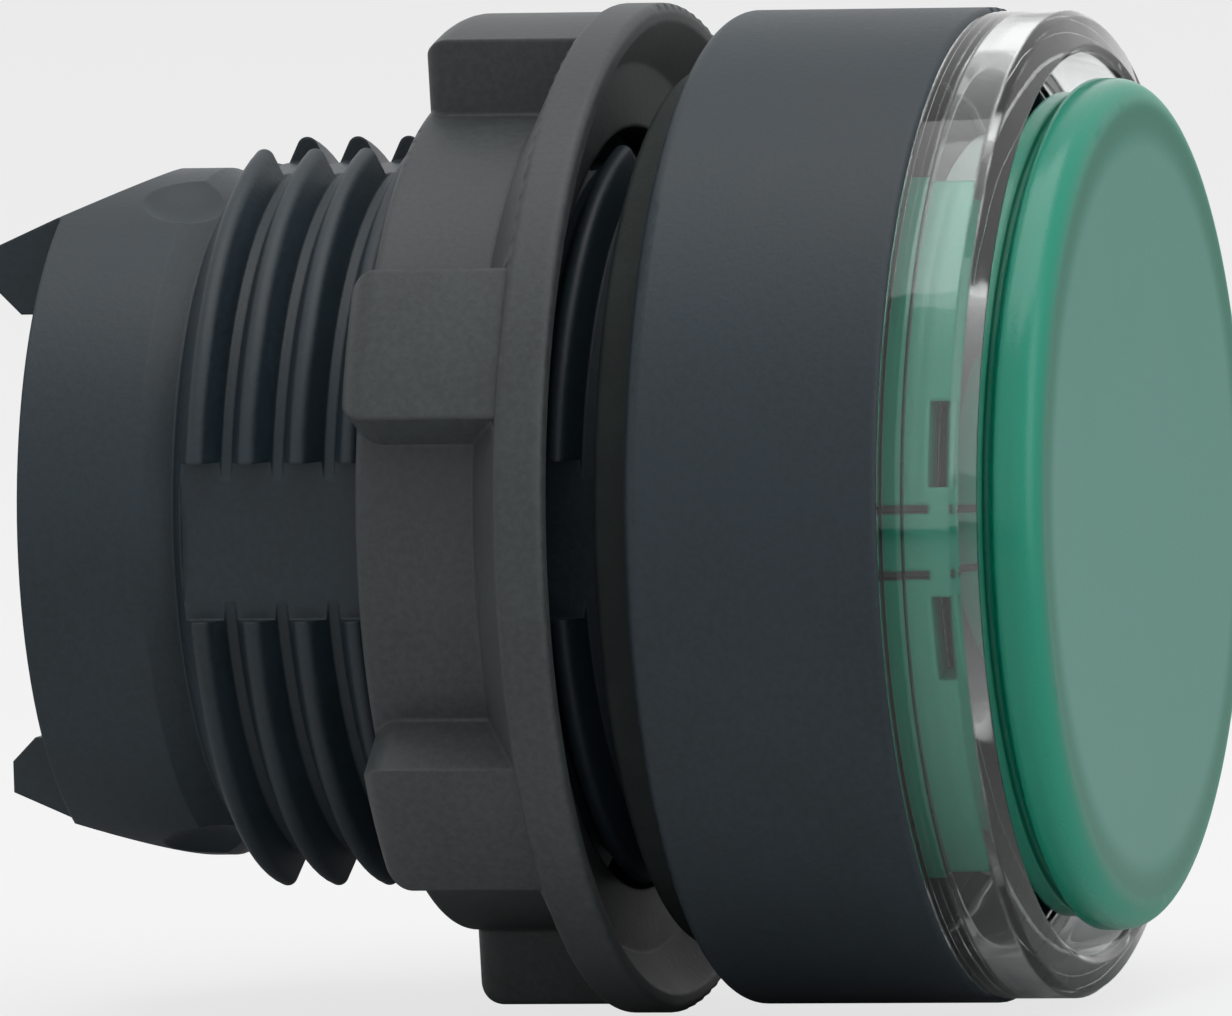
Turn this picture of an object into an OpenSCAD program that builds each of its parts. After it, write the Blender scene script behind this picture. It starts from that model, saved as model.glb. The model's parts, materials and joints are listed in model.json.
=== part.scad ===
// Illuminated push button head for a 22 mm panel hole.
// The axis of the button lies along Y. The front faces -Y, the rear +Y, and +Z is up.
// The origin is the centre of the face that seats on the front of the panel.
// Every module is drawn along its own Z, with the front at +Z, and one turn at the end lays it down.

/* [Barrel] */
// Diameter over the thread's crests
thread_d = 22.1; // [21.6:0.1:22.4]
// Distance from one thread ridge to the next
thread_pitch = 1.55; // [1.4:0.05:1.6]
// Height of a thread ridge above its root
thread_depth = 0.85; // [0.7:0.05:1]
// Width of a thread ridge at its root
thread_base = 1.24; // [1.1:0.02:1.3]
// Number of thread ridges
thread_count = 8; // [6:1:8]
// Radius of the rounded crest of a ridge
crest_r = 0.32; // [0.26:0.02:0.34]
// Distance from the panel face to the end of the thread
thread_end = 14.42; // [14.2:0.02:15]
// Width of the gaps that interrupt the thread, at the sides, top and bottom
slot_w = 4.6; // [3:0.2:5]
// Depth of those gaps below the root of the thread
slot_depth = 0.15; // [0.1:0.05:0.3]
// Length of the smooth collar under the gasket, behind the panel face
collar_l = 1.7; // [1.5:0.1:1.9]
// Diameter of the smooth spigot behind the thread
spigot_d = 20.14; // [19.9:0.02:20.3]
// Length of the spigot from its shoulder to the rear rim
spigot_l = 3.7; // [3.5:0.1:4.5]
// Depth of the neck between the thread and the spigot, below the spigot
neck_drop = 0.42; // [0.3:0.02:0.5]
// Distance from the end of the thread to the bottom of the neck
neck_l = 0.38; // [0.3:0.02:0.5]
// Distance from the bottom of the neck to the spigot's shoulder
shoulder_l = 0.9; // [0.7:0.05:1.1]
// Wall of the spigot
barrel_wall = 1.17; // [1:0.01:1.3]
// Depth of the hollow in the rear end, from the rim
rear_hollow = 5.8; // [5.6:0.1:6.2]
// Thickness of the guide web inside the barrel
web_t = 1; // [0.8:0.1:1.4]
// Slope of the lead-in ramps at the top and bottom of the spigot, in degrees
ramp_angle = 23.5; // [18:0.5:26]
// Distance from the spigot's shoulder to the top ramp
ramp_top = 1.4; // [1:0.1:1.8]
// Distance from the spigot's shoulder to the bottom ramp
ramp_bottom = 0.5; // [0.4:0.1:1.8]
// Length of the two rear legs behind the rim
leg_l = 2.0; // [1.5:0.1:2.4]
// Width of the rear legs
leg_w = 9; // [7:0.5:10]
// Bevel of the rear legs' inner corners
leg_bevel = 0.7; // [0.3:0.1:1]
// Radius of the ball that leaves each detent dimple
dimple_r = 3; // [2.6:0.1:3.4]
// Depth of a detent dimple
dimple_depth = 0.5; // [0.3:0.05:0.6]
// How far the dimples' middles lie ahead of the spigot's shoulder
dimple_ahead = 0.2; // [0:0.1:0.4]
// Elevation of the dimples above and below the side, in degrees
dimple_angle = 70; // [64:1:76]

/* [Head] */
// Diameter of the bezel
bezel_d = 29; // [28.6:0.1:29.6]
// Length of the bezel in front of the panel
bezel_l = 7.6; // [7.2:0.1:8]
// Wall of the bezel
bezel_wall = 1.05; // [0.9:0.05:1.2]
// Rounding of the bezel's rear edge
bezel_round = 0.45; // [0.2:0.05:0.6]
// Rounding of small edges
edge_round = 0.2; // [0.1:0.05:0.25]
// Radius of the snap bead between the barrel's head and the bezel
bead_r = 0.3; // [0.2:0.05:0.35]
// Thickness of the barrel's head disc
head_t = 2.4; // [2.2:0.1:2.6]
// Wall of the cup on the head disc
cup_wall = 0.75; // [0.65:0.05:0.8]
// Height of the cup above the head disc
cup_l = 2.7; // [2.4:0.1:2.9]
// Depth of the seal's counterbore behind the panel face
seal_seat = 0.8; // [0.6:0.1:1]
// Wall around the seal's counterbore
seal_wall = 1.45; // [1.2:0.05:1.6]

/* [Guard ring] */
// How far the clear ring stands back from the bezel's outer face
ring_inset = 0.12; // [0.05:0.01:0.2]
// Length of the ring's outer face in front of the bezel
ring_side = 2.3; // [2:0.1:2.5]
// Rise of the ring's sloping front face
ring_rise = 0.5; // [0.3:0.05:0.7]
// Wall of the ring in front of the bezel
ring_wall = 1.21; // [1:0.01:1.3]
// Wall of the ring's neck inside the bezel
neck_wall = 0.65; // [0.5:0.05:0.7]
// Rounding of the ring's front edges
ring_round = 0.18; // [0.1:0.02:0.24]
// Thickness of the seal under the ring
ring_seal_t = 0.5; // [0.4:0.05:0.6]

/* [Gasket] */
// Width of the head's rim around the panel gasket
gasket_rim = 0.55; // [0.4:0.05:0.8]
// How far the gasket stands out behind the panel face
gasket_out = 1.3; // [1:0.1:1.4]
// Depth of the groove that holds the gasket
gasket_groove = 1.2; // [1:0.1:1.4]

/* [Nut] */
// Panel that the nut clamps as stored
panel_t = 2.3; // [2.3:0.1:3]
// Diameter of the nut's flange
flange_d = 29.5; // [29:0.1:30]
// Thickness of the flange's rim
flange_t = 1.5; // [1.3:0.1:1.7]
// Rounding of the flange's edges
flange_round = 0.25; // [0.1:0.05:0.35]
// Width of the flange's flat front rim
rim_w = 0.55; // [0.4:0.05:0.7]
// Depth of the flange's hollow front
dish_depth = 1.1; // [1.1:0.05:1.2]
// Width of the slope from the flange's rim down into the hollow
dish_w = 1.2; // [1:0.05:1.4]
// Length of the nut from its front rim to its rear end
nut_l = 6.3; // [5.8:0.1:6.6]
// Wall of the nut's collar
nut_wall = 1.15; // [1:0.05:1.3]
// How far the lugs stand back from the flange's rim
lug_inset = 0.25; // [0.1:0.05:0.5]
// Number of lugs
lug_count = 6; // [4:1:8]
// Width of a lug
lug_w = 4.6; // [4:0.1:5]
// Rounding of the lugs' rear corners
lug_round = 0.9; // [0.6:0.1:1.2]
// How far the nut is turned on its thread, in degrees
nut_turn = 35.5; // [0:0.5:59.5]
// Radial play of the nut on the thread's crests
nut_play = 0.1; // [0.05:0.01:0.1]

/* [Lens] */
// Gap between the lens's head and the ring's mouth
lens_gap = 0.77; // [0.6:0.01:0.9]
// Height of the lens's head
lens_head = 1.4; // [1.2:0.05:1.8]
// How far the lens's head starts in front of the guard ring
lens_out = 0.05; // [0:0.01:0.3]
// Rounding of the lens's face
lens_round = 0.8; // [0.5:0.05:1]
// Step from the lens's head in to its skirt
skirt_step = 0.4; // [0.2:0.05:0.5]
// Step from the lens's skirt in to the groove under the head
groove_step = 0.25; // [0.1:0.05:0.3]
// Height of that groove
groove_l = 0.35; // [0.2:0.05:0.5]
// Height of the full band under the groove
band_l = 0.55; // [0.4:0.05:0.6]
// Half of the angle that a side skirt spans, in degrees
skirt_half = 54; // [48:1:58]
// Wall of the lens
lens_wall = 1.1; // [1:0.05:1.15]
// Width of each window in a side skirt
window_w = 2.45; // [2:0.05:2.8]
// Height of each window in a side skirt
window_h = 0.75; // [0.5:0.05:0.8]
// Height of the windows above the skirt's lower edge
window_up = 1.7; // [1.5:0.05:1.8]
// Angle from the side of the lens to the middle of a window, in degrees
window_angle = 13.25; // [12:0.25:16]
// Width of the latch between the windows
latch_w = 1.6; // [1.2:0.1:2]
// Width of the slots beside the latch
latch_slot = 0.25; // [0.15:0.05:0.3]
// Wire radius of the O-ring inside the lens
o_ring_r = 0.25; // [0.2:0.05:0.3]

/* [Lamp chamber] */
// Diameter of the bore that takes the lamp
lamp_d = 9.8; // [9.4:0.1:10]
// Thickness of the diffuser
diffuser_t = 1; // [0.8:0.1:1.2]
// Thickness of the legend plate
legend_t = 0.5; // [0.4:0.05:0.6]
// Thickness of the carrier's plate
carrier_t = 1; // [0.8:0.1:1]
// Wall of the carrier's skirt
carrier_wall = 1.2; // [1:0.1:1.4]
// Thickness of the light guide's front flange
guide_flange_t = 0.8; // [0.6:0.1:1]
// Length of the light guide
guide_l = 4.4; // [3.8:0.1:5]
// Wall of the plunger around the light guide
guide_wall = 0.75; // [0.65:0.05:0.8]
// Diameter of the hollow in the light guide's rear face
guide_dish_d = 6.4; // [5:0.2:7]

/* [Plunger] */
// Wall of the plunger
plunger_wall = 1.1; // [1:0.05:1.2]
// Gap between the plunger's front flange and the carrier's skirt
flange_gap = 0.65; // [0.4:0.05:1]
// Thickness of the plunger's front flange
plunger_flange_t = 0.8; // [0.6:0.1:1]
// Gap between the plunger's spring collar and the barrel
spring_collar_gap = 0.6; // [0.4:0.05:1]
// Thickness of the spring collar
spring_collar_t = 1; // [0.8:0.1:1.2]
// Distance from the lip seal to the spring collar
spring_collar_drop = 0.8; // [0.6:0.1:1]
// Step from the plunger in to its rear end
tail_step = 0.5; // [0.4:0.05:0.6]
// Distance from the barrel's rear rim in to the plunger's rear end
tail_inset = 2.9; // [2.7:0.1:3.2]
// Gap between the plunger and the flats of the rear hollow
flats_gap = 0.2; // [0.15:0.05:0.3]
// Width of the actuator ring's rear face
actuator_rim = 1.45; // [1.2:0.05:1.6]
// Depth of the recess in the actuator ring's rear face
actuator_recess = 1; // [0.9:0.1:1.1]
// Gap between the actuator ring and the walls of the hollow
actuator_gap = 0.15; // [0.1:0.05:0.2]
// Gap between the actuator ring and the web that stops it
stop_gap = 0.1; // [0.05:0.01:0.15]
// Thickness of the retaining ring
clip_t = 0.5; // [0.4:0.05:0.6]
// Width of the retaining ring's gap
clip_gap = 3; // [2:0.5:4]
// Depth of the retaining ring's groove
clip_groove = 0.3; // [0.2:0.02:0.34]
// Travel of the button
travel = 4.1; // [3.5:0.1:4.2]
// Gap left under the skirts at full travel
end_gap = 0.4; // [0.3:0.05:0.5]
// Radial running play of the plunger
play = 0.08; // [0.03:0.01:0.1]

/* [Return spring] */
// Gap between the spring and the plunger
spring_gap = 0.95; // [0.8:0.05:1.1]
// Diameter of the spring's wire
wire_d = 0.7; // [0.6:0.05:0.75]
// Number of the spring's turns
turns = 4.75; // [4:0.25:5]
// Thickness of the spring's two washers
washer_t = 0.5; // [0.4:0.05:0.6]
// Thickness of the lip seal
lip_seal_t = 1.9; // [1.6:0.1:2]
// Width of the groove behind the seal's lip
lip_groove_w = 0.65; // [0.4:0.05:0.8]
// Thickness of the seal's lip
lip_t = 0.5; // [0.4:0.05:0.6]
// Thickness of the seal retainer
retainer_t = 1.1; // [0.9:0.1:1.2]

/* [Hidden] */

// rounds are true circles, shown with this many sides
$fn = 96;
// overshoot of a cut past the face that it opens
over = 1;
// clearance between pieces that seat in each other
seat_gap = 0.05;
// clearance between moving pieces that never touch
free_gap = 0.3;

// radii of the housing, from the bezel inwards
bezel_r = bezel_d / 2;
head_r = bezel_r - bezel_wall - seat_gap;
cup_r = head_r - cup_wall;
gasket_r = head_r - gasket_rim;
ring_r = bezel_r - ring_inset;
mouth_r = ring_r - ring_wall;
neck_bore_r = head_r - neck_wall;
thread_r = thread_d / 2;
root_r = thread_r - thread_depth;
spigot_r = spigot_d / 2;
neck_r = spigot_r - neck_drop;
bore_r = spigot_r - barrel_wall;
seal_r = thread_r - seal_wall;
flange_r = flange_d / 2;
dish_r = flange_r - rim_w - dish_w;
nut_bore_r = thread_r + nut_play;
collar_r = nut_bore_r + nut_wall;
lug_r = flange_r - lug_inset;

// radii of the button, from the lens inwards
lens_r = mouth_r - lens_gap;
skirt_r = lens_r - skirt_step;
groove_r = skirt_r - groove_step;
lens_in_r = skirt_r - lens_wall;
carrier_r = lens_in_r - seat_gap;
plunger_flange_r = carrier_r - carrier_wall - flange_gap;
spring_collar_r = bore_r - spring_collar_gap;
lamp_r = lamp_d / 2;
plunger_r = lamp_r + plunger_wall;
guide_r = plunger_r - guide_wall;
guide_hole_r = plunger_r + play;
tail_r = plunger_r - tail_step;
flats = plunger_r + flats_gap;
actuator_r = bore_r - actuator_gap;
spring_r = plunger_r + spring_gap + wire_d / 2;

// places along the axis, positive in front of the panel face
neck_z = -thread_end - neck_l;
shoulder_z = neck_z - shoulder_l;
rim_z = shoulder_z - spigot_l;
rear_z = rim_z - leg_l;
web_z = rim_z + rear_hollow;
web_front_z = web_z + web_t;
cup_z = head_t + cup_l;
ring_z = cup_z + ring_seal_t;
bead_z = (head_t + cup_z) / 2;
ring_front_z = bezel_l + ring_side + ring_rise;
nut_z = -panel_t;
nut_rear_z = nut_z - nut_l;
lens_z = ring_front_z + lens_out;
groove_z = lens_z - groove_l;
band_z = groove_z - band_l;
skirt_z = head_t + travel + end_gap;
window_z = skirt_z + window_up;
face_z = lens_z + lens_head;
roof_z = face_z - lens_wall;
legend_z = roof_z - seat_gap - legend_t;
diffuser_z = legend_z - seat_gap - diffuser_t;
carrier_top_z = diffuser_z - seat_gap - 2 * o_ring_r;
carrier_z = carrier_top_z - carrier_t;
seal_z = -seal_seat;
retainer_z = seal_z + lip_seal_t;
spring_collar_z = seal_z - spring_collar_drop - spring_collar_t;
spring_top_z = spring_collar_z - washer_t;
spring_foot_z = web_front_z + washer_t;
tail_z = rim_z + tail_inset;
actuator_z = web_z - stop_gap;
clip_z = tail_z + (actuator_recess - clip_t) / 2;

// A tube along Z from z0 to z1
module tube(outer_r, inner_r, z0, z1) {
    difference() {
        translate([0, 0, z0]) cylinder(r = outer_r, h = z1 - z0);
        translate([0, 0, z0 - over]) cylinder(r = inner_r, h = z1 - z0 + 2 * over);
    }
}

// A disc along Z from z0 to z1
module disc(r, z0, z1) {
    translate([0, 0, z0]) cylinder(r = r, h = z1 - z0);
}

// Half of a disc's section, with its edges rounded at the rear and at the front
module rounded_section(r, z0, z1, rear_round, front_round) {
    union() {
        translate([0, z0]) square([r - rear_round, z1 - z0 - front_round]);
        translate([0, z0 + rear_round]) square([r - front_round, z1 - z0 - rear_round]);
        translate([0, z0 + rear_round]) square([r, z1 - z0 - rear_round - front_round]);
        translate([r - rear_round, z0 + rear_round]) circle(r = rear_round);
        translate([r - front_round, z1 - front_round]) circle(r = front_round);
    }
}

module rounded_disc(r, z0, z1, rear_round, front_round) {
    rotate_extrude() rounded_section(r, z0, z1, rear_round, front_round);
}

// A block in the half plane at angle a, from radius r0 outwards
module radial_block(a, r0, r1, w, z0, z1) {
    rotate([0, 0, a]) translate([r0, -w / 2, z0]) cube([r1 - r0, w, z1 - z0]);
}

// Section of one thread ridge: straight flanks that run into a round crest
module ridge_section() {
    centre_h = thread_depth - crest_r;
    half = thread_base / 2;
    reach = sqrt(half * half + centre_h * centre_h);
    flank = atan2(centre_h, half) + asin(crest_r / reach);
    flank_l = sqrt(reach * reach - crest_r * crest_r);
    touch = [half - flank_l * cos(flank), flank_l * sin(flank)];
    translate([root_r, 0]) union() {
        polygon([
            [-over / 2, -half], [0, -half], [touch.y, -touch.x],
            [touch.y, touch.x], [0, half], [-over / 2, half]
        ]);
        translate([centre_h, 0]) circle(r = crest_r);
    }
}

// The thread's ridges stand one pitch apart, forward from the thread's end
module thread_ridges() {
    for (i = [0:thread_count - 1])
        translate([0, 0, -thread_end + thread_base / 2 + i * thread_pitch])
            rotate_extrude() ridge_section();
}

// Four lengthwise gaps interrupt the thread
module thread_slots() {
    z1 = -collar_l - seat_gap;
    for (a = [0:90:270])
        radial_block(a, root_r - slot_depth, thread_r + over, slot_w, -thread_end, z1);
}

// Round outline behind the panel face: the thread's root, the neck and the spigot
module barrel_core() {
    rotate_extrude()
        polygon([
            [0, 0], [root_r, 0], [root_r, -thread_end], [neck_r, neck_z],
            [spigot_r, shoulder_z], [spigot_r, rear_z], [0, rear_z]
        ]);
}

// The space above a ramp that starts at the spigot's surface, this far behind its shoulder
module ramp_cut(start) {
    far = 3 * spigot_r;
    translate([-far / 2, spigot_r, shoulder_z - start]) rotate([180 - ramp_angle, 0, 0])
        translate([0, -far, 0]) cube([far, far, far]);
}

// The core with its two rear legs and the ramps that lead onto them
module spigot() {
    difference() {
        barrel_core();
        leg_gaps();
        ramp_cut(ramp_top);
        mirror([0, 1, 0]) ramp_cut(ramp_bottom);
    }
}

// The spigot's hollow is round with a flat above and below
module spigot_bore() {
    intersection() {
        disc(bore_r, rear_z - over, web_z);
        translate([-spigot_r, -flats, rear_z - over])
            cube([2 * spigot_r, 2 * flats, over - rear_z]);
    }
}

// Behind the rim only the two legs are left
module leg_gaps() {
    deep = rim_z - rear_z + over;
    wide = 2 * spigot_r;
    for (side = [0, 1])
        mirror([side, 0, 0]) translate([leg_w / 2, -spigot_r - over, rear_z - over])
            cube([wide, wide + 2 * over, deep]);
    for (side = [0, 1])
        mirror([0, side, 0]) translate([-spigot_r, flats, rear_z - leg_bevel])
            rotate([45, 0, 0]) cube([wide, sqrt(2) * leg_bevel, sqrt(2) * leg_bevel]);
}

// A ball whose skin reaches one dimple's depth into the spigot
module dimple_ball() {
    out = spigot_r + dimple_r - dimple_depth;
    translate([out * cos(dimple_angle), out * sin(dimple_angle), shoulder_z + dimple_ahead])
        sphere(r = dimple_r);
}

// Head disc with the gasket's groove, cup, snap bead and the seal's counterbore
module barrel_head() {
    disc(head_r, 0, head_t);
    tube(head_r, cup_r, 0, cup_z);
    rotate_extrude() translate([head_r - bead_r / 2, bead_z]) circle(r = bead_r);
}

module barrel() color([0.16, 0.17, 0.2]) {
    difference() {
        union() {
            barrel_head();
            disc(thread_r, -collar_l, head_t);
            difference() {
                thread_ridges();
                thread_slots();
            }
            spigot();
        }
        // the groove for the gasket
        tube(gasket_r + seat_gap, thread_r, -over, gasket_groove);
        thread_slots();
        for (x = [0, 1], y = [0, 1])
            mirror([x, 0, 0]) mirror([0, y, 0]) dimple_ball();
        disc(bore_r, web_front_z, seal_z + over / 2);
        disc(guide_hole_r, web_z - over, 0);
        spigot_bore();
        disc(seal_r, seal_z, head_t + over);
    }
}

module bezel() color([0.14, 0.15, 0.17]) {
    difference() {
        rounded_disc(bezel_r, 0, bezel_l, bezel_round, edge_round);
        disc(head_r + seat_gap, -over, bezel_l + over);
        rotate_extrude() translate([head_r - bead_r / 2, bead_z]) circle(r = bead_r + seat_gap);
    }
}

// Section of the ring's front: an upright side, a sloping face and two small bevels
module ring_section() {
    fall = ring_rise / ring_wall;
    edge_z = ring_front_z - ring_rise;
    polygon([
        [mouth_r, bezel_l], [ring_r, bezel_l], [ring_r, edge_z - ring_round],
        [ring_r - ring_round, edge_z + ring_round * fall],
        [mouth_r + ring_round, ring_front_z - ring_round * fall],
        [mouth_r, ring_front_z - ring_round]
    ]);
}

module guard_ring() color([0.85, 0.92, 0.92, 0.4]) {
    difference() {
        union() {
            rotate_extrude() ring_section();
            tube(head_r, neck_bore_r, ring_z, bezel_l + over / 2);
        }
        disc(neck_bore_r, ring_z - over, bezel_l + over);
    }
}

module guard_ring_seal() color([0.08, 0.08, 0.08]) {
    tube(head_r, cup_r, cup_z, ring_z);
}

module panel_gasket() color([0.05, 0.07, 0.06]) {
    difference() {
        rounded_disc(gasket_r, -gasket_out, gasket_groove, edge_round, edge_round);
        disc(thread_r + seat_gap / 2, -gasket_out - over, gasket_groove + over);
    }
}

// One lug: a block with round rear corners, cut to the lugs' round outline
module lug() {
    root = nut_z - flange_t / 2;
    intersection() {
        rounded_disc(lug_r, nut_rear_z, root, lug_round, flange_round);
        translate([collar_r - over, 0, 0]) rotate([0, 90, 0])
            linear_extrude(height = lug_r - collar_r + 2 * over) union() {
                translate([-root, -lug_w / 2]) square([root - nut_rear_z - lug_round, lug_w]);
                translate([-root, -lug_w / 2 + lug_round])
                    square([root - nut_rear_z, lug_w - 2 * lug_round]);
                for (side = [-1, 1])
                    translate([-nut_rear_z - lug_round, side * (lug_w / 2 - lug_round)])
                        circle(r = lug_round);
            }
    }
}

module panel_nut() color([0.22, 0.23, 0.25]) {
    flange_z = nut_z - flange_t;
    slope = (flange_r - collar_r) / 2;
    difference() {
        union() {
            rounded_disc(flange_r, flange_z, nut_z, flange_round, flange_round);
            rounded_disc(collar_r, nut_rear_z, nut_z - flange_t / 2, flange_round, flange_round);
            // the flange's rear face slopes down to the collar
            translate([0, 0, flange_z - slope])
                cylinder(r1 = collar_r, r2 = flange_r - flange_round, h = slope);
            for (i = [0:lug_count - 1])
                rotate([0, 0, nut_turn + i * 360 / lug_count]) lug();
        }
        translate([0, 0, nut_z - dish_depth])
            cylinder(r1 = dish_r, r2 = flange_r - rim_w, h = dish_depth);
        disc(flange_r - rim_w, nut_z, nut_z + over);
        disc(nut_bore_r, nut_rear_z - over, nut_z + over);
    }
}

// The lens's solid outline, before it is hollowed
module lens_blank() {
    rounded_disc(lens_r, lens_z, face_z, edge_round, lens_round);
    disc(groove_r, groove_z, lens_z + lens_round);
    disc(skirt_r, skirt_z, groove_z);
}

// Takes away what lies between the two side skirts, up to height z1
module skirt_gaps(z1) {
    reach = 2 * skirt_r;
    near = lens_in_r - carrier_wall - over;
    for (side = [0, 1])
        mirror([0, side, 0]) translate([0, 0, skirt_z - over])
            linear_extrude(height = z1 - skirt_z + over)
                polygon([
                    [near * cos(skirt_half), near * sin(skirt_half)],
                    [reach * cos(skirt_half), reach * sin(skirt_half)], [0, reach * 2],
                    [-reach * cos(skirt_half), reach * sin(skirt_half)],
                    [-near * cos(skirt_half), near * sin(skirt_half)]
                ]);
}

module lens_windows() {
    for (side = [0, 180], half = [-1, 1])
        radial_block(side + half * window_angle, lens_in_r - over, skirt_r + over, window_w,
            window_z, window_z + window_h);
}

// Two slots free each latch, which then bends where it clips on the carrier
module latch_slots() {
    for (side = [0, 180], half = [-1, 1])
        rotate([0, 0, side]) translate([0, half * (latch_w + latch_slot) / 2, 0])
            radial_block(0, lens_in_r - over, skirt_r + over, latch_slot, skirt_z - over, window_z);
}

module lens_cap() color([0.05, 0.5, 0.38, 0.85]) {
    difference() {
        lens_blank();
        disc(lens_in_r, skirt_z - over, roof_z);
        skirt_gaps(band_z);
        lens_windows();
        latch_slots();
    }
}

module lens_o_ring() color([0.1, 0.1, 0.1]) {
    rotate_extrude() translate([carrier_r - o_ring_r, carrier_top_z + o_ring_r]) circle(r = o_ring_r);
}

module legend_plate() color([0.9, 0.9, 0.88]) {
    disc(carrier_r, legend_z, legend_z + legend_t);
}

module diffuser() color([0.95, 0.95, 0.92]) {
    disc(carrier_r, diffuser_z, diffuser_z + diffuser_t);
}

module lens_carrier() color([0.75, 0.78, 0.78]) {
    difference() {
        union() {
            tube(carrier_r, carrier_r - carrier_wall, skirt_z, carrier_top_z);
            disc(carrier_r, carrier_z, carrier_top_z);
        }
        disc(guide_r, carrier_z - over, carrier_top_z + over);
        skirt_gaps(carrier_z);
    }
}

module light_guide() color([0.8, 0.9, 0.95, 0.5]) {
    difference() {
        union() {
            disc(tail_r, carrier_z - guide_flange_t, carrier_z);
            disc(guide_r - seat_gap, carrier_z - guide_l, carrier_z);
        }
        translate([0, 0, carrier_z - guide_l - over])
            cylinder(d1 = guide_dish_d + 2 * over, d2 = 0, h = guide_dish_d / 2 + over);
    }
}

module plunger() color([0.12, 0.12, 0.13]) {
    difference() {
        union() {
            disc(plunger_r, actuator_z, carrier_z);
            disc(tail_r, tail_z, actuator_z);
            disc(plunger_flange_r, carrier_z - plunger_flange_t, carrier_z);
            disc(spring_collar_r, spring_collar_z, spring_collar_z + spring_collar_t);
        }
        disc(lamp_r, tail_z - over, carrier_z + over);
        disc(guide_r, carrier_z - guide_l - seat_gap, carrier_z + over);
        disc(tail_r + seat_gap, carrier_z - guide_flange_t - seat_gap, carrier_z + over);
        tube(tail_r + over, tail_r - clip_groove, clip_z - seat_gap, clip_z + clip_t + seat_gap);
    }
}

module spring_washer() color([0.7, 0.7, 0.72]) {
    tube(spring_collar_r, guide_hole_r, spring_top_z, spring_collar_z);
}

module spring_seat() color([0.7, 0.7, 0.72]) {
    tube(bore_r - seat_gap, guide_hole_r, web_front_z, spring_foot_z);
}

module lip_seal() color([0.1, 0.1, 0.1]) {
    lip_r = guide_hole_r + lip_t;
    difference() {
        disc(seal_r - seat_gap, seal_z, retainer_z);
        disc(guide_hole_r, seal_z - over, retainer_z + over);
        // a groove behind the lip leaves it free to bend
        tube(lip_r + lip_groove_w, lip_r, seal_z + lip_seal_t / 2, retainer_z + over);
    }
}

module seal_retainer() color([0.2, 0.2, 0.22]) {
    tube(seal_r - seat_gap, guide_hole_r + free_gap, retainer_z, retainer_z + retainer_t);
}

module actuator_ring() color([0.3, 0.3, 0.32]) {
    half = flats - actuator_gap;
    difference() {
        intersection() {
            disc(actuator_r, tail_z, actuator_z);
            translate([-actuator_r, -half, tail_z]) cube([2 * actuator_r, 2 * half, actuator_z - tail_z]);
        }
        disc(tail_r + seat_gap / 2, tail_z - over, actuator_z + over);
        disc(actuator_r - actuator_rim, tail_z - over, tail_z + actuator_recess);
    }
}

module retaining_ring() color([0.6, 0.6, 0.62]) {
    difference() {
        tube(flats - actuator_gap, tail_r - clip_groove + seat_gap / 2, clip_z, clip_z + clip_t);
        translate([0, -clip_gap / 2, clip_z - over]) cube([bore_r, clip_gap, clip_t + 2 * over]);
    }
}

// Rings of the spring's tube, eight to a turn
spring_rings = round(turns * 8);
spring_sides = 6;
// The wire's centre runs from the seat to the washer, clear of both by a hair
spring_low = spring_foot_z + wire_d / 2 + seat_gap;
spring_high = spring_top_z - wire_d / 2 - seat_gap;
function spring_centre(i) =
    [spring_r * cos(i * 45), spring_r * sin(i * 45),
     spring_low + (spring_high - spring_low) * i / spring_rings];
function spring_point(i, j) =
    let (a = i * 45, b = j * 360 / spring_sides, c = spring_centre(i), w = wire_d / 2)
    [c.x + w * cos(b) * cos(a), c.y + w * cos(b) * sin(a), c.z + w * sin(b)];
// gap between one turn and the next, measured between their points
spring_self_gap = min([for (i = [0:spring_rings - 8], j = [0:spring_sides - 1], k = [0:spring_sides - 1])
    norm(spring_point(i, j) - spring_point(i + 8, k))]);
echo(spring_self_gap = spring_self_gap);

module return_spring() color([0.75, 0.75, 0.77]) {
    points = [for (i = [0:spring_rings], j = [0:spring_sides - 1]) spring_point(i, j)];
    last = spring_rings * spring_sides;
    walls = [for (i = [0:spring_rings - 1], j = [0:spring_sides - 1])
        let (a = i * spring_sides + j, b = i * spring_sides + (j + 1) % spring_sides)
        each [[a, b, b + spring_sides], [a, b + spring_sides, a + spring_sides]]];
    foot = [for (j = [1:spring_sides - 2]) [0, j + 1, j]];
    cap = [for (j = [1:spring_sides - 2]) [last, last + j, last + j + 1]];
    polyhedron(points = points, faces = concat(walls, foot, cap));
}

// Lays the button down, with its front towards -Y
module laid_down() {
    rotate([90, 0, 0]) children();
}

laid_down() bezel();
laid_down() barrel();
laid_down() guard_ring();
laid_down() guard_ring_seal();
laid_down() panel_gasket();
laid_down() panel_nut();
laid_down() lens_cap();
laid_down() lens_o_ring();
laid_down() legend_plate();
laid_down() diffuser();
laid_down() lens_carrier();
laid_down() light_guide();
laid_down() plunger();
laid_down() spring_washer();
laid_down() return_spring();
laid_down() spring_seat();
laid_down() lip_seal();
laid_down() seal_retainer();
laid_down() actuator_ring();
laid_down() retaining_ring();
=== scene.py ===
import json
import math

import bpy
from bpy.props import FloatProperty, FloatVectorProperty, IntProperty, PointerProperty
from mathutils import Matrix, Vector


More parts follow.
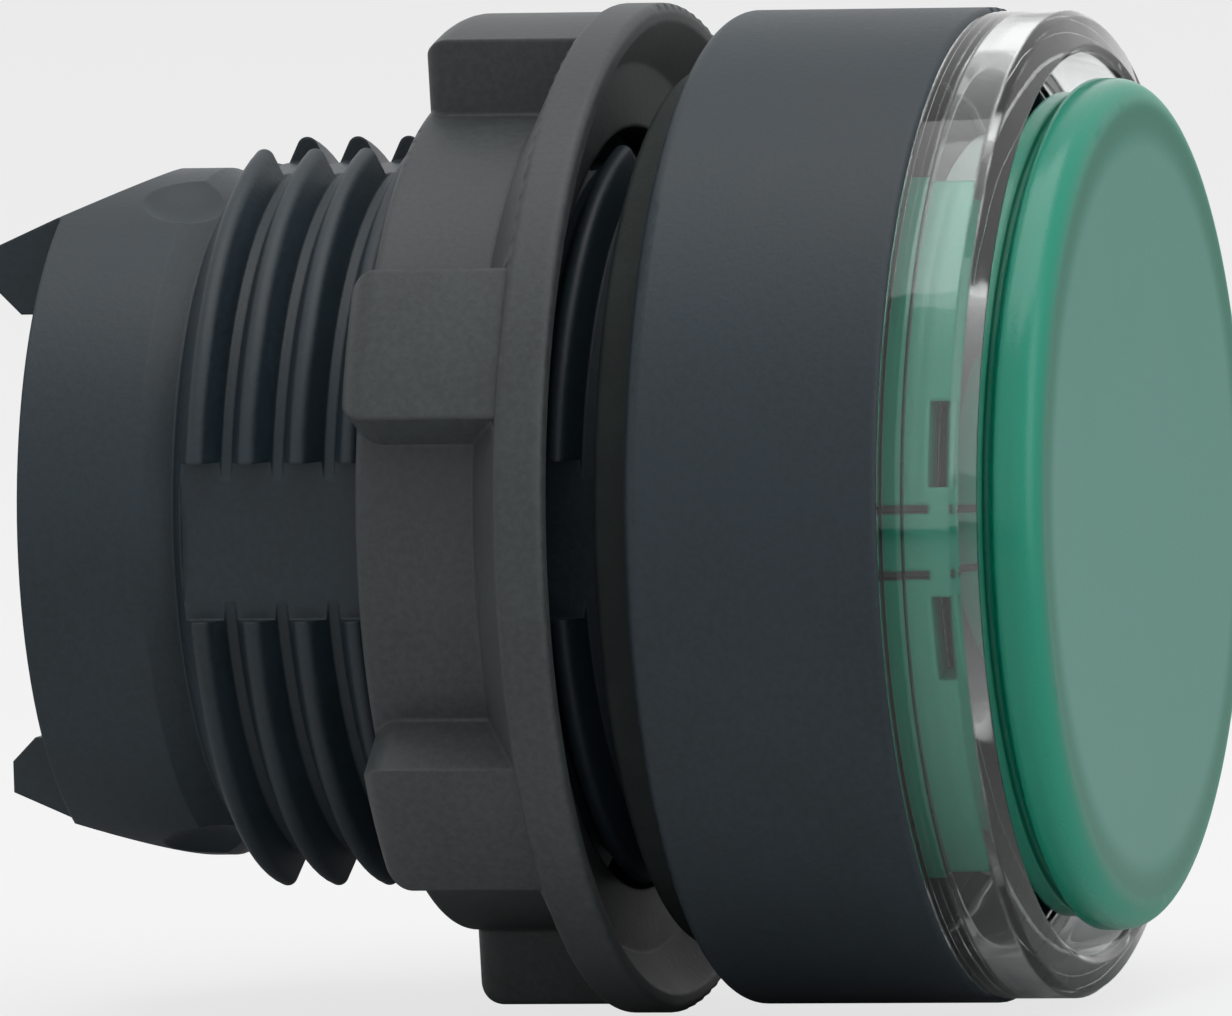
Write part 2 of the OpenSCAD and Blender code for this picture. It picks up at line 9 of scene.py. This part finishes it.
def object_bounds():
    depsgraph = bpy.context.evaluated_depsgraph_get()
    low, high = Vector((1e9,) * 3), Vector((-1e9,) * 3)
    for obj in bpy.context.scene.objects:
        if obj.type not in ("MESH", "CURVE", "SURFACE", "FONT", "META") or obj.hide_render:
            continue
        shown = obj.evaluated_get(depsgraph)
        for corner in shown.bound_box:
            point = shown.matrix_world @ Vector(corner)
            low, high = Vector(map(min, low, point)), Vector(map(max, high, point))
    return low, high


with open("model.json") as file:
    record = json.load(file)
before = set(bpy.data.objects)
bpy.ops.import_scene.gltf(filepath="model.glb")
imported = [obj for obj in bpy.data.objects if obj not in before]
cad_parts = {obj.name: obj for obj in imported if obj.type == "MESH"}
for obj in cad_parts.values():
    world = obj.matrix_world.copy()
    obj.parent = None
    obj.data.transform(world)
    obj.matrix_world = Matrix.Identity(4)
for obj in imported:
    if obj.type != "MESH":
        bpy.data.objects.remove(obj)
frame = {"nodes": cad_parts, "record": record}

bl_info = {
    "name": "Push button head",
    "version": (1, 0, 0),
    "blender": (4, 5, 0),
    "location": "3D View > Sidebar > Push button",
    "description": "Dresses an illuminated push button head in its moulded, rubber and steel finishes",
    "category": "Object",
}

CAD_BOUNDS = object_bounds()
MM = 0.001
PANEL_FACE = 0.0


# ---------------------------------------------------------------- settings


def length(name, description, default):
    return FloatProperty(name=name, description=description, default=default, unit="LENGTH", precision=5)


def colour(name, description, default):
    return FloatVectorProperty(
        name=name, description=description, default=default, subtype="COLOR", min=0, max=1, size=3
    )


def share(name, description, default):
    return FloatProperty(name=name, description=description, default=default, subtype="FACTOR", min=0, max=1)


class FinishSettings(bpy.types.PropertyGroup):
    black: colour("Black moulding", "Colour of the bezel and the barrel", (0.012, 0.022, 0.03))
    nut: colour("Nut moulding", "Colour of the panel nut", (0.045, 0.052, 0.054))
    green: colour("Lens", "Colour of the lens where it is thick", (0.0, 0.27, 0.17))
    green_face: colour("Lens face", "Colour of the lens's face over the white diffuser", (0.085, 0.27, 0.215))
    rubber: colour("Rubber", "Colour of the gasket and seals", (0.006, 0.011, 0.010))
    moulding_roughness: share("Moulding roughness", "Roughness of the moulded black pieces", 0.5)
    grain: length("Grain", "Width of one grain of the moulded surface", 0.00022)
    edge: length("Edge radius", "Radius of the moulded edges", 0.00012)


class StageSettings(bpy.types.PropertyGroup):
    azimuth: FloatProperty(
        name="Azimuth", description="Camera's turn round the object", default=math.radians(-74.5), subtype="ANGLE"
    )
    elevation: FloatProperty(
        name="Elevation", description="Camera's height above the horizon", default=math.radians(4.8), subtype="ANGLE"
    )
    roll: FloatProperty(name="Roll", description="Camera's tilt", default=math.radians(1.8), subtype="ANGLE")
    distance: length("Distance", "Distance from the camera to its target", 0.95)
    focal: FloatProperty(name="Focal length", description="Camera's focal length in millimetres", default=950)
    target: FloatVectorProperty(
        name="Target", description="Point that the camera looks at", default=(0, 0.00412, 0), subtype="XYZ", size=3
    )
    floor: colour("Floor", "Colour of the floor", (0.86, 0.86, 0.86))
    surround: share("Surround", "Strength of the light from all round", 0.3)
    key_light: FloatProperty(name="Key light", description="Power of the light overhead", default=0.5)
    front_light: FloatProperty(name="Front light", description="Power of the light in front of the lens", default=0.25)


# ---------------------------------------------------------------- materials


class Term:
    """A number in a material. Sums and products of terms make the Math nodes they need."""

    def __init__(self, shader, socket):
        self.shader = shader
        self.socket = socket

    def math(self, operation, *terms):
        node = self.shader.node("ShaderNodeMath", {"operation": operation}, dict(enumerate(terms)))
        return Term(self.shader, node.outputs[0])

    def __add__(self, other):
        return self.math("ADD", self, other)

    def __radd__(self, other):
        return self.math("ADD", other, self)

    def __sub__(self, other):
        return self.math("SUBTRACT", self, other)

    def __rsub__(self, other):
        return self.math("SUBTRACT", other, self)

    def __mul__(self, other):
        return self.math("MULTIPLY", self, other)

    def __rmul__(self, other):
        return self.math("MULTIPLY", other, self)

    def __truediv__(self, other):
        return self.math("DIVIDE", self, other)

    def power(self, other):
        return self.math("POWER", self, other)

    def root(self):
        return self.math("SQRT", self)

    def distance_to(self, other):
        return self.math("ABSOLUTE", self - other)

    def step(self, low, high):
        """0 below low, 1 above high, and a smooth rise between them."""
        node = self.shader.node(
            "ShaderNodeMapRange",
            {"interpolation_type": "SMOOTHSTEP"},
            {"Value": self, "From Min": low, "From Max": high, "To Min": 0.0, "To Max": 1.0},
        )
        return Term(self.shader, node.outputs[0])


class Shader:
    """One material and the few ways in which this file adds nodes to it."""

    def __init__(self, name):
        self.material = bpy.data.materials.new(name)
        self.material.use_nodes = True
        self.tree = self.material.node_tree
        self.tree.nodes.clear()
        self.place = self.node("ShaderNodeTexCoord").outputs["Object"]

    def node(self, kind, settings=None, values=None):
        node = self.tree.nodes.new(kind)
        for key, value in (settings or {}).items():
            if key == "stops":
                ramp = node.color_ramp.elements
                while len(ramp) < len(value):
                    ramp.new(0.5)
                for stop, (position, tint) in zip(ramp, value):
                    stop.position = position
                    stop.color = (*tint, 1)
            else:
                setattr(node, key, value)
        for key, value in (values or {}).items():
            if isinstance(value, Term):
                value = value.socket
            if isinstance(value, bpy.types.NodeSocket):
                self.tree.links.new(value, node.inputs[key])
            elif hasattr(value, "__len__") and node.inputs[key].type == "RGBA" and len(value) == 3:
                node.inputs[key].default_value = (*value, 1)
            else:
                node.inputs[key].default_value = value
        return node

    def axes(self):
        """The three coordinates of a point as terms."""
        split = self.node("ShaderNodeSeparateXYZ", None, {0: self.place})
        return [Term(self, out) for out in split.outputs]

    def radius(self):
        """Distance from the button's axis."""
        x, _, z = self.axes()
        return (x * x + z * z).root()

    def noise(self, width, detail=2.0, roughness=0.5, place=None):
        """Noise whose features are about this wide."""
        node = self.node(
            "ShaderNodeTexNoise",
            None,
            {"Vector": place or self.place, "Scale": 1 / width, "Detail": detail, "Roughness": roughness},
        )
        return Term(self, node.outputs["Fac"])

    def mix(self, factor, a, b):
        """Colour a where factor is 0 and b where it is 1."""
        node = self.node("ShaderNodeMix", {"data_type": "RGBA"}, {"Factor": factor})
        for key, value in ((6, a), (7, b)):
            if isinstance(value, bpy.types.NodeSocket):
                self.tree.links.new(value, node.inputs[key])
            else:
                node.inputs[key].default_value = (*value, 1)
        return node.outputs[2]

    def rounded(self, radius):
        """A normal that rounds the edges, and how much it turned there."""
        bevel = self.node("ShaderNodeBevel", {"samples": 6}, {"Radius": radius})
        flat = self.node("ShaderNodeNewGeometry").outputs["Normal"]
        dot = self.node("ShaderNodeVectorMath", {"operation": "DOT_PRODUCT"}, {0: bevel.outputs[0], 1: flat})
        return bevel.outputs[0], 1.0 - Term(self, dot.outputs["Value"])

    def bump(self, height, depth, normal=None, strength=1.0):
        values = {"Height": height, "Distance": depth, "Strength": strength}
        if normal is not None:
            values["Normal"] = normal
        return self.node("ShaderNodeBump", None, values).outputs[0]

    def principled(self, values):
        shader = self.node("ShaderNodeBsdfPrincipled", None, values)
        self.finish(shader.outputs[0])
        return self.material

    def finish(self, surface):
        out = self.node("ShaderNodeOutputMaterial")
        self.tree.links.new(surface, out.inputs["Surface"])
        return self.material


def moulding(name, tint, roughness, grain, edge, edge_sheen_and_wear=0.6):
    """Black or grey moulded plastic: a fine sparked grain, faint clouds, and rounded edges whose colour is painted
    lighter, partly as rubbed wear and partly as painted highlight.
    """
    s = Shader(name)
    normal, turned = s.rounded(edge)
    speckle = s.noise(grain, 3.0, 0.6)
    cloud = s.noise(0.004, 3.0)
    rub_and_sheen = s.noise(0.0012, 4.0, 0.7).step(0.35, 0.7)
    light = [min(1, c * 2.4 + 0.03) for c in tint]
    dark = [c * 0.72 for c in tint]
    base = s.mix(speckle.step(0.3, 0.72) * 0.55 + cloud.step(0.3, 0.7) * 0.35, dark, [c * 1.3 for c in tint])
    # Painted highlight and wear: the base colour turns lighter along the rounded edges, broken up by noise, partly as
    # rubbed wear and partly as a painted highlight.
    base = s.mix(turned.step(0.02, 0.5) * rub_and_sheen * edge_sheen_and_wear, base, light)
    finish = roughness + (speckle - 0.5) * 0.16 + (cloud - 0.5) * 0.12 - turned.step(0.02, 0.4) * 0.12
    return s.principled(
        {
            "Base Color": base,
            "Roughness": finish,
            "Specular IOR Level": 0.4,
            "Normal": s.bump(speckle, grain * 0.05, normal),
        }
    )


def rubber(name, tint):
    """Matt rubber with a dusty bloom and fine pits."""
    s = Shader(name)
    normal, turned = s.rounded(0.0001)
    pits = s.noise(0.00015, 4.0, 0.7)
    bloom = s.noise(0.0025, 4.0).step(0.45, 0.75)
    base = s.mix(bloom * 0.5, tint, [c * 2 + 0.01 for c in tint])
    return s.principled(
        {
            "Base Color": base,
            "Roughness": 0.72 + (pits - 0.5) * 0.2,
            "Specular IOR Level": 0.3,
            "Normal": s.bump(pits, 0.00001, normal),
        }
    )


def clear(name):
    """Polished clear plastic with faint flow ripples."""
    s = Shader(name)
    normal, _ = s.rounded(0.00015)
    ripple = s.noise(0.003, 1.0)
    smear = s.noise(0.0011, 4.0, 0.6).step(0.45, 0.8)
    return s.principled(
        {
            "Base Color": s.mix(smear * 0.06, (0.98, 1.0, 1.0), (0.86, 0.9, 0.9)),
            "Roughness": 0.02 + smear * 0.05,
            "IOR": 1.5,
            "Transmission Weight": 1.0,
            "Normal": s.bump(ripple, 0.00003, normal),
        }
    )


def lens_plastic(name, thick, face):
    """Green lens: deep where its wall is thick, paler over the white diffuser behind its face, with a darker ring of
    painted shade near the face's rim.
    """
    s = Shader(name)
    normal, turned = s.rounded(0.0002)
    r = s.radius()
    _, y, _ = s.axes()
    speckle = s.noise(0.00013, 3.0, 0.6)
    cloud = s.noise(0.004, 2.0)
    front = 1.0 - y.step(-0.0118, -0.0112)
    pale = front * (1.0 - r.step(0.0103, 0.0114))
    # Painted shade: a darker green ring on the face, roughly 10.2 to 12.2 mm out from the axis.
    painted_shade_band = front * r.step(0.0102, 0.0112) * (1.0 - r.step(0.0113, 0.0122))
    base = s.mix(pale * (0.9 + (speckle - 0.5) * 0.3 + (cloud - 0.5) * 0.2), thick, face)
    base = s.mix(painted_shade_band * 0.75, base, [c * 0.42 + 0.01 for c in thick])
    return s.principled(
        {
            "Base Color": base,
            "Roughness": 0.2 + front * 0.22 + (speckle - 0.5) * 0.1,
            "IOR": 1.5,
            "Coat Weight": 0.0,
            "Normal": s.bump(speckle, 0.000006, normal),
        }
    )


def milky(name, tint, roughness):
    """Milky translucent plastic with soft flow clouds."""
    s = Shader(name)
    normal, turned = s.rounded(0.0001)
    cloud = s.noise(0.002, 3.0)
    base = s.mix(cloud, [c * 0.9 for c in tint], tint)
    return s.principled(
        {
            "Base Color": base,
            "Roughness": roughness + (cloud - 0.5) * 0.2,
            "Subsurface Weight": 0.4,
            "Subsurface Radius": (0.001, 0.001, 0.001),
            "Normal": s.bump(cloud, 0.00002, normal),
        }
    )


def spring_steel(name):
    """Drawn or rolled steel with fine lines round the axis."""
    s = Shader(name)
    normal, _ = s.rounded(0.00006)
    lines = s.noise(0.00008, 3.0, 0.7, place=s.node("ShaderNodeMapping", None, {0: s.place, "Scale": (1, 8, 1)}).outputs[0])
    stain = s.noise(0.001, 4.0)
    return s.principled(
        {
            "Base Color": s.mix(stain.step(0.4, 0.8) * 0.4, (0.62, 0.61, 0.59), (0.4, 0.38, 0.35)),
            "Metallic": 1.0,
            "Roughness": 0.28 + lines * 0.2,
            "Normal": s.bump(lines, 0.000004, normal),
        }
    )


MATERIALS = {}


def finishes(f):
    """Every finish of the record, by its slot's name."""
    MATERIALS["black_moulding"] = moulding("black moulding", f.black, f.moulding_roughness, f.grain, f.edge)
    MATERIALS["nut_moulding"] = moulding("nut moulding", f.nut, f.moulding_roughness, f.grain, f.edge * 1.6)
    MATERIALS["grey_moulding"] = moulding("grey moulding", (0.09, 0.09, 0.095), 0.5, f.grain, f.edge)
    MATERIALS["black_rubber"] = rubber("black rubber", f.rubber)
    MATERIALS["clear_moulding"] = clear("clear moulding")
    MATERIALS["green_lens"] = lens_plastic("green lens", f.green, f.green_face)
    MATERIALS["white_diffuser"] = milky("white diffuser", (0.8, 0.8, 0.76), 0.5)
    MATERIALS["carrier_moulding"] = milky("carrier moulding", (0.42, 0.52, 0.47), 0.45)
    MATERIALS["spring_steel"] = spring_steel("spring steel")


def dress(node):
    """Gives a piece of the frame the finish that the record names."""
    slot = {p["node"]: p["material_slot"] for p in frame["record"]["subparts"]}[node]
    materials = frame["nodes"][node].data.materials
    materials.clear()
    materials.append(MATERIALS[slot])


# ---------------------------------------------------------------- pieces


class BUTTON_OT_dress(bpy.types.Operator):
    """Gives every piece of the frame its finish"""

    bl_idname = "push_button.dress"
    bl_label = "Dress the pieces"

    def execute(self, context):
        finishes(context.scene.button_finish)
        for node in frame["nodes"]:
            dress(node)
        return {"FINISHED"}


def area_light(name, place, target, size, power):
    data = bpy.data.lights.new(name, "AREA")
    data.shape = "RECTANGLE"
    data.size, data.size_y = size
    data.energy = power
    light = bpy.data.objects.new(name, data)
    bpy.context.scene.collection.objects.link(light)
    light.location = place
    light.rotation_euler = (Vector(target) - Vector(place)).to_track_quat("-Z", "Y").to_euler()
    return light


class BUTTON_OT_stage(bpy.types.Operator):
    """Adds the floor, the lights, the surroundings and the camera"""

    bl_idname = "push_button.stage"
    bl_label = "Set the stage"

    def execute(self, context):
        st = context.scene.button_stage
        low = CAD_BOUNDS[0]
        bpy.ops.object.select_all(action="DESELECT")
        bpy.ops.mesh.primitive_circle_add(vertices=96, radius=1.2, fill_type="NGON", location=(0, 0, low[2]))
        floor = context.active_object
        floor.name = "floor"
        s = Shader("floor")
        path = s.node("ShaderNodeLightPath")
        diffuse = s.node("ShaderNodeBsdfDiffuse", None, {"Color": tuple(st.floor)})
        glow = s.node("ShaderNodeEmission", None, {"Color": (1, 1, 1), "Strength": 1.0})
        seen = Term(s, path.outputs["Is Camera Ray"]) * 0.75
        both = s.node("ShaderNodeMixShader", None, {0: seen, 1: diffuse.outputs[0], 2: glow.outputs[0]})
        floor.data.materials.append(s.finish(both.outputs[0]))

        world = bpy.data.worlds.new("surroundings")
        context.scene.world = world
        world.use_nodes = True
        tree = world.node_tree
        tree.nodes.clear()
        path = tree.nodes.new("ShaderNodeLightPath")
        seen = tree.nodes.new("ShaderNodeMath")
        seen.operation = "ADD"
        seen.use_clamp = True
        tree.links.new(path.outputs["Is Camera Ray"], seen.inputs[0])
        either = tree.nodes.new("ShaderNodeMath")
        either.operation = "ADD"
        tree.links.new(path.outputs["Is Glossy Ray"], either.inputs[0])
        tree.links.new(path.outputs["Is Transmission Ray"], either.inputs[1])
        tree.links.new(either.outputs[0], seen.inputs[1])
        dim = tree.nodes.new("ShaderNodeBackground")
        dim.inputs["Strength"].default_value = st.surround
        white = tree.nodes.new("ShaderNodeBackground")
        white.inputs["Strength"].default_value = 1.0
        white.inputs["Color"].default_value = (1, 1, 1, 1)
        dim.inputs["Color"].default_value = (1, 1, 1, 1)
        mix = tree.nodes.new("ShaderNodeMixShader")
        tree.links.new(seen.outputs[0], mix.inputs[0])
        tree.links.new(dim.outputs[0], mix.inputs[1])
        tree.links.new(white.outputs[0], mix.inputs[2])
        out = tree.nodes.new("ShaderNodeOutputWorld")
        tree.links.new(mix.outputs[0], out.inputs[0])

        area_light("overhead light", (-0.04, -0.02, 0.28), (0, 0, 0), (0.3, 0.3), st.key_light)
        area_light("front light", (-0.12, -0.3, 0.12), (0, 0, 0), (0.16, 0.3), st.front_light)

        a, e = st.azimuth, st.elevation
        back = Vector((math.sin(a) * math.cos(e), -math.cos(a) * math.cos(e), math.sin(e)))
        data = bpy.data.cameras.new("camera")
        data.lens = st.focal
        data.sensor_width = 36
        data.clip_start = 0.01
        data.clip_end = 20
        camera = bpy.data.objects.new("camera", data)
        context.scene.collection.objects.link(camera)
        turn = (-back).to_track_quat("-Z", "Y").to_matrix().to_4x4() @ Matrix.Rotation(-st.roll, 4, "Z")
        camera.matrix_world = Matrix.Translation(Vector(st.target) + back * st.distance) @ turn
        context.scene.camera = camera
        context.scene.view_settings.view_transform = "Standard"
        return {"FINISHED"}


OPERATORS = (BUTTON_OT_dress, BUTTON_OT_stage)


class BUTTON_PT_sidebar(bpy.types.Panel):
    """Lists the settings and the steps"""

    bl_idname = "BUTTON_PT_sidebar"
    bl_label = "Push button"
    bl_space_type = "VIEW_3D"
    bl_region_type = "UI"
    bl_category = "Push button"

    def draw(self, context):
        for group in (context.scene.button_finish, context.scene.button_stage):
            box = self.layout.box()
            for name in group.__annotations__:
                box.prop(group, name)
        for operator in OPERATORS:
            self.layout.operator(operator.bl_idname)


CLASSES = (FinishSettings, StageSettings, *OPERATORS, BUTTON_PT_sidebar)


def register():
    for item in CLASSES:
        bpy.utils.register_class(item)
    bpy.types.Scene.button_finish = PointerProperty(type=FinishSettings)
    bpy.types.Scene.button_stage = PointerProperty(type=StageSettings)


def unregister():
    del bpy.types.Scene.button_stage
    del bpy.types.Scene.button_finish
    for item in reversed(CLASSES):
        bpy.utils.unregister_class(item)


def main():
    register()
    bpy.ops.push_button.dress()
    bpy.ops.push_button.stage()


if __name__ == "__main__":
    main()
